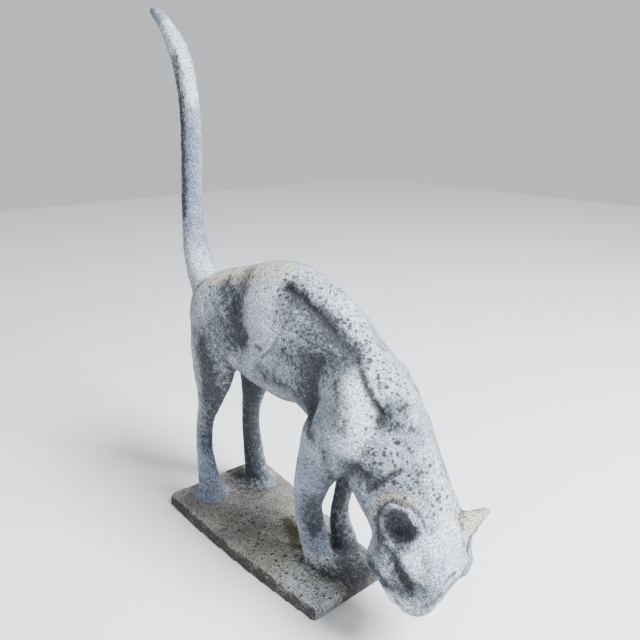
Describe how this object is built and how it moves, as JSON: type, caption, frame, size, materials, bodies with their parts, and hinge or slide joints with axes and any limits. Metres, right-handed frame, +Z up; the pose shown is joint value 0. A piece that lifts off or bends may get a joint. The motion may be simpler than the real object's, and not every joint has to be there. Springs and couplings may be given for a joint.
{
  "type": "garden statue",
  "caption": "Stone garden cat standing on a thin slab, back arched, tail straight up, head bowed low in front of the slab and turned to one side.",
  "frame": {"origin": "centre of the slab's underside, on the ground", "axes": "+X the way the cat faces, +Y to the cat's left, +Z up"},
  "size_m": [0.6399, 0.1914, 0.7951],
  "materials": {
    "stone": "weathered cast stone, rough and speckled with lichen"
  },
  "bodies": {
    "root": {"stone_cat": "stone"}
  },
  "joints": []
}
